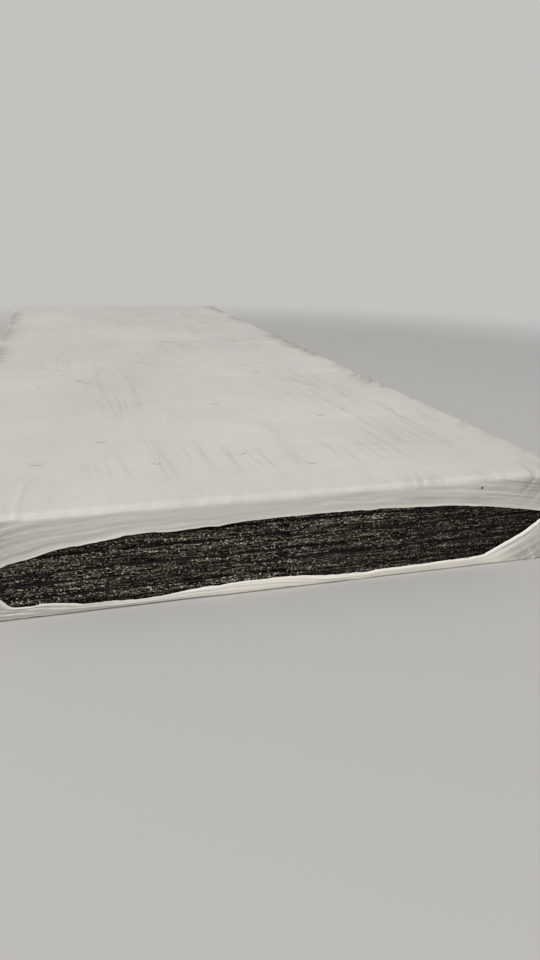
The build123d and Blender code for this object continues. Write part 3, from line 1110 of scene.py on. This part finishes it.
def vent_tree():
    """Vents spread over a film where its 'vent_room' attribute allows, laid onto its folds."""
    tree, add, given = new_tree("Scatter Vents", {
        "Vent": "Object", "Density": "Float", "Spacing": "Float", "Seed": "Int",
        "Finish": "Material", "Slit shadow finish": "Material"})
    room, up, lift, slit = (
        add("GeometryNodeInputNamedAttribute", {"Name": name}, data_type=kind)
        for name, kind in (("vent_room", "FLOAT"), ("up", "FLOAT_VECTOR"), ("lift", "FLOAT"),
                           ("slit", "BOOLEAN")))
    points = add("GeometryNodeDistributePointsOnFaces", {
        "Mesh": given["Geometry"], "Distance Min": given["Spacing"],
        "Density Max": given["Density"], "Density Factor": room,
        "Seed": given["Seed"]}, distribute_method="POISSON")
    kept = add("GeometryNodeStoreNamedAttribute", {
        "Geometry": points, "Name": "up", "Value": points.outputs["Normal"]},
               data_type="FLOAT_VECTOR", domain="POINT")

    # Each vent lies on the film with its slit downwards, give or take up to 17 degrees
    flat = add("FunctionNodeAlignRotationToVector", {"Vector": points.outputs["Normal"]}, axis="Z")
    upright = add("FunctionNodeAlignRotationToVector", {
        "Rotation": flat, "Vector": (0.0, 0.35, 1.0)}, axis="Y", pivot_axis="Z")
    jiggle = add("FunctionNodeRandomValue", {
        "Min": (0.0, 0.0, -0.3), "Max": (0.0, 0.0, 0.3), "Seed": 4}, data_type="FLOAT_VECTOR")
    turned = add("FunctionNodeRotateRotation", {
        "Rotation": upright, "Rotate By": jiggle}, rotation_space="LOCAL")
    template = add("GeometryNodeObjectInfo", {"Object": given["Vent"]})
    size = add("FunctionNodeRandomValue", {"Min": 0.75, "Max": 1.1, "Seed": 6}, data_type="FLOAT")
    placed = add("GeometryNodeInstanceOnPoints", {
        "Points": kept, "Instance": template.outputs["Geometry"], "Rotation": turned,
        "Scale": size})
    real = add("GeometryNodeRealizeInstances", {"Geometry": placed})

    # Lay every point on the film below it and lift it by its own height
    below = add("GeometryNodeProximity", {"Geometry": given["Geometry"]}, target_element="FACES")
    raised = add("ShaderNodeVectorMath", {0: up, "Scale": lift}, operation="SCALE")
    lifted = add("ShaderNodeVectorMath", {0: below, 1: raised}, operation="ADD")
    laid = add("GeometryNodeSetPosition", {"Geometry": real, "Position": lifted})
    filmed = add("GeometryNodeSetMaterial", {"Geometry": laid, "Material": given["Finish"]})
    done = add("GeometryNodeSetMaterial", {
        "Geometry": filmed, "Selection": slit, "Material": given["Slit shadow finish"]})
    add("NodeGroupOutput", {"Geometry": done})
    return tree


def vents(name, film):
    """The vents of the sleeve."""
    settings = bpy.context.scene.bundle_vents
    template = vent_template(settings.width / MM, settings.ridge / MM)
    made = baked(name, film, vent_tree(), {
        "Vent": template, "Density": settings.density, "Spacing": settings.spacing, "Seed": 5,
        "Finish": film_finish(), "Slit shadow finish": vent_shadow()})
    bpy.data.objects.remove(template)
    return made


def gritty_area(carrier):
    """Area of a mesh of quads in square metres, each counted by its share of grit."""
    mesh = carrier.data
    areas, grit = np.zeros(len(mesh.polygons)), np.zeros(len(mesh.vertices))
    mesh.polygons.foreach_get("area", areas)
    mesh.attributes["grit"].data.foreach_get("value", grit)
    corners = np.zeros(len(mesh.loops), int)
    mesh.loops.foreach_get("vertex_index", corners)
    return float((areas * grit[corners].reshape(-1, 4).mean(axis=1)).sum())


def granules(name, carrier_name, count, seed):
    """Granules on the felt of one end."""
    settings = bpy.context.scene.bundle_granules
    carrier = bpy.data.objects[carrier_name]
    tree = bpy.data.node_groups.get("Scatter Granules") or granule_tree()
    return baked(name, carrier, tree, {
        "Granules per square metre": count / gritty_area(carrier),
        "Smallest": settings.smallest, "Largest": settings.largest,
        "Seed": seed, "Finish": granule_finish()})


def as_piece(made):
    """Makes a finished piece part of the bundle."""
    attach(made, BODY)
    return made


# Stage

def camera_turn():
    """The photograph camera's rotation."""
    turns = ((-CAMERA_YAW, "Z"), (90 - CAMERA_PITCH, "X"), (CAMERA_ROLL, "Z"))
    yaw, pitch, roll = (Matrix.Rotation(math.radians(turn), 3, axis) for turn, axis in turns)
    return yaw @ pitch @ roll


def area_lamp(name, place, aim, size, power):
    """A square soft lamp turned towards a point."""
    lamp = bpy.data.lights.new(name, "AREA")
    lamp.size = size
    lamp.energy = power
    made = bpy.data.objects.new(name, lamp)
    made.location = place
    made.rotation_mode = "QUATERNION"
    made.rotation_quaternion = (Vector(aim) - Vector(place)).to_track_quat("-Z", "Y")
    bpy.context.scene.collection.objects.link(made)


BACKDROP = "C4C2BE"
# Each lamp's place, the point that it is turned to, and its size, in metres
KEY_LAMP = ((-3.4, -1.6, 3.5), (0, -0.1, 0), 2.2)
FILL_LAMP = ((-0.5, -3.2, 1.4), (0, -0.5, 0), 1.1)


def seen_directly(add):
    """1 for rays from the camera, also by way of a gloss or through glass."""
    path = add("ShaderNodeLightPath")
    total = path.outputs["Is Camera Ray"]
    for name in ("Is Glossy Ray", "Is Transmission Ray"):
        total = add("ShaderNodeMath", {0: total, 1: path.outputs[name]}, operation="MAXIMUM")
    return total


def floor_finish():
    """Plain pale painted board, matt, that fades into the backdrop far from the bundle."""
    material, add, shader = new_material("Pale Matt Floor")
    place = add("ShaderNodeTexCoord").outputs["Object"]
    feed(shader, {"Base Color": linear("BAB8B4"), "Roughness": 0.9,
                        "Specular IOR Level": 0.2})
    distance = add("ShaderNodeVectorMath", {0: place}, operation="LENGTH")
    # The fade runs from 0.6 m to 1.3 m from the middle of the bundle
    fade = add("ShaderNodeMapRange", {
        "Value": distance, "From Min": 0.6, "From Max": 1.3}, interpolation_type="SMOOTHSTEP")
    share = add("ShaderNodeMath", {0: fade, 1: seen_directly(add)}, operation="MULTIPLY")
    far = add("ShaderNodeEmission", {"Color": linear(BACKDROP), "Strength": 1.0})
    mixed = add("ShaderNodeMixShader", {0: share, 1: shader, 2: far})
    feed(material.node_tree.get_output_node("ALL"), {"Surface": mixed})
    return material


def pale_world(strength):
    """Even light from all round, and the backdrop where the camera sees past the floor."""
    world = bpy.data.worlds.new("Pale Room")
    world.use_nodes = True
    world.node_tree.nodes.clear()
    add = functools.partial(add_node, world.node_tree)
    light, backdrop = (
        add("ShaderNodeBackground", {"Color": linear(code), "Strength": power})
        for code, power in (("FFFFFF", strength), (BACKDROP, 1.0)))
    mixed = add("ShaderNodeMixShader", {0: seen_directly(add), 1: light, 2: backdrop})
    add("ShaderNodeOutputWorld", {"Surface": mixed})
    bpy.context.scene.world = world


class OBJECT_OT_bundle_film(bpy.types.Operator):
    """Make the film sleeve"""

    bl_idname = "object.bundle_film"
    bl_label = "Film Sleeve"

    def execute(self, context):
        made = as_piece(film_sleeve())
        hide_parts("film_wrap")
        return {"FINISHED"}


class OBJECT_OT_bundle_vents(bpy.types.Operator):
    """Punch the film sleeve's vents"""

    bl_idname = "object.bundle_vents"
    bl_label = "Vents"

    def execute(self, context):
        as_piece(vents("vents", bpy.data.objects["film_sleeve"]))
        return {"FINISHED"}


class OBJECT_OT_bundle_edges(bpy.types.Operator):
    """Make the torn felt on the cut ends of the shingles"""

    bl_idname = "object.bundle_edges"
    bl_label = "Torn Felt"

    def execute(self, context):
        as_piece(felt_edges("felt_edges_front", back=False, step=0.55))
        as_piece(felt_edges("felt_edges_back", back=True, step=1.1))
        return {"FINISHED"}


class OBJECT_OT_bundle_granules(bpy.types.Operator):
    """Scatter granules over the torn felt"""

    bl_idname = "object.bundle_granules"
    bl_label = "Granules"

    def execute(self, context):
        counts = context.scene.bundle_granules
        as_piece(granules("granules_front", "felt_edges_front", counts.front_count, 1))
        as_piece(granules("granules_back", "felt_edges_back", counts.back_count, 2))
        return {"FINISHED"}


class OBJECT_OT_bundle_shingles(bpy.types.Operator):
    """Give the shingles their mineral surface"""

    bl_idname = "object.bundle_shingles"
    bl_label = "Shingle Surface"

    def execute(self, context):
        finish = shingle_finish()
        for name in SHINGLES:
            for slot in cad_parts[name].material_slots:
                slot.material = finish
        return {"FINISHED"}


class OBJECT_OT_bundle_stage(bpy.types.Operator):
    """Make the floor, the lamps and the camera"""

    bl_idname = "object.bundle_stage"
    bl_label = "Stage"

    def execute(self, context):
        settings = context.scene.bundle_stage
        bpy.ops.mesh.primitive_circle_add(
            radius=settings.floor_size / 2, vertices=96, fill_type="NGON", location=(0, 0, 0))
        floor = context.object
        floor.name = "floor"
        floor.data.materials.append(floor_finish())
        pale_world(settings.sky)
        area_lamp("key_lamp", *KEY_LAMP, settings.key_power)
        area_lamp("fill_lamp", *FILL_LAMP, settings.fill_power)
        camera = bpy.data.cameras.new("photo_camera")
        camera.sensor_width = SENSOR
        camera.lens = FOCAL_PIXELS * SENSOR / FRAME_PIXELS
        camera.clip_start = 0.01
        placed = bpy.data.objects.new("photo_camera", camera)
        placed.location = Vector(CAMERA_PLACE) * MM
        placed.rotation_euler = camera_turn().to_euler()
        context.scene.collection.objects.link(placed)
        context.scene.camera = placed
        context.scene.view_settings.view_transform = "Standard"
        return {"FINISHED"}


class VIEW3D_PT_bundle(bpy.types.Panel):
    """Lists the steps and their sizes"""

    bl_idname = "VIEW3D_PT_bundle"
    bl_label = "Shingle Bundle"
    bl_space_type = "VIEW_3D"
    bl_region_type = "UI"
    bl_category = "Shingle Bundle"

    def draw(self, context):
        for step in STEPS:
            box = self.layout.box()
            box.operator(step.bl_idname)
            group = step.bl_idname.replace("object.", "")
            if group in SETTINGS:
                for name in SETTINGS[group].__annotations__:
                    box.prop(getattr(context.scene, group), name)


STEPS = (OBJECT_OT_bundle_stage, OBJECT_OT_bundle_shingles, OBJECT_OT_bundle_edges,
         OBJECT_OT_bundle_granules, OBJECT_OT_bundle_film, OBJECT_OT_bundle_vents)
# The settings of each step that has some, by the second half of its operator's name
SETTINGS = {"bundle_stage": StageSettings, "bundle_edges": EdgeSettings,
            "bundle_granules": GranuleSettings, "bundle_film": FilmSettings,
            "bundle_vents": VentSettings}
CLASSES = (*SETTINGS.values(), *STEPS, VIEW3D_PT_bundle)


def register():
    for kind in CLASSES:
        bpy.utils.register_class(kind)
    for name, kind in SETTINGS.items():
        setattr(bpy.types.Scene, name, bpy.props.PointerProperty(type=kind))


def unregister():
    for name in SETTINGS:
        delattr(bpy.types.Scene, name)
    for kind in reversed(CLASSES):
        bpy.utils.unregister_class(kind)


def main():
    register()
    bpy.ops.object.bundle_stage()
    bpy.ops.object.bundle_shingles()
    bpy.ops.object.bundle_edges()
    bpy.ops.object.bundle_granules()
    bpy.ops.object.bundle_film()
    bpy.ops.object.bundle_vents()


if __name__ == "__main__":
    main()
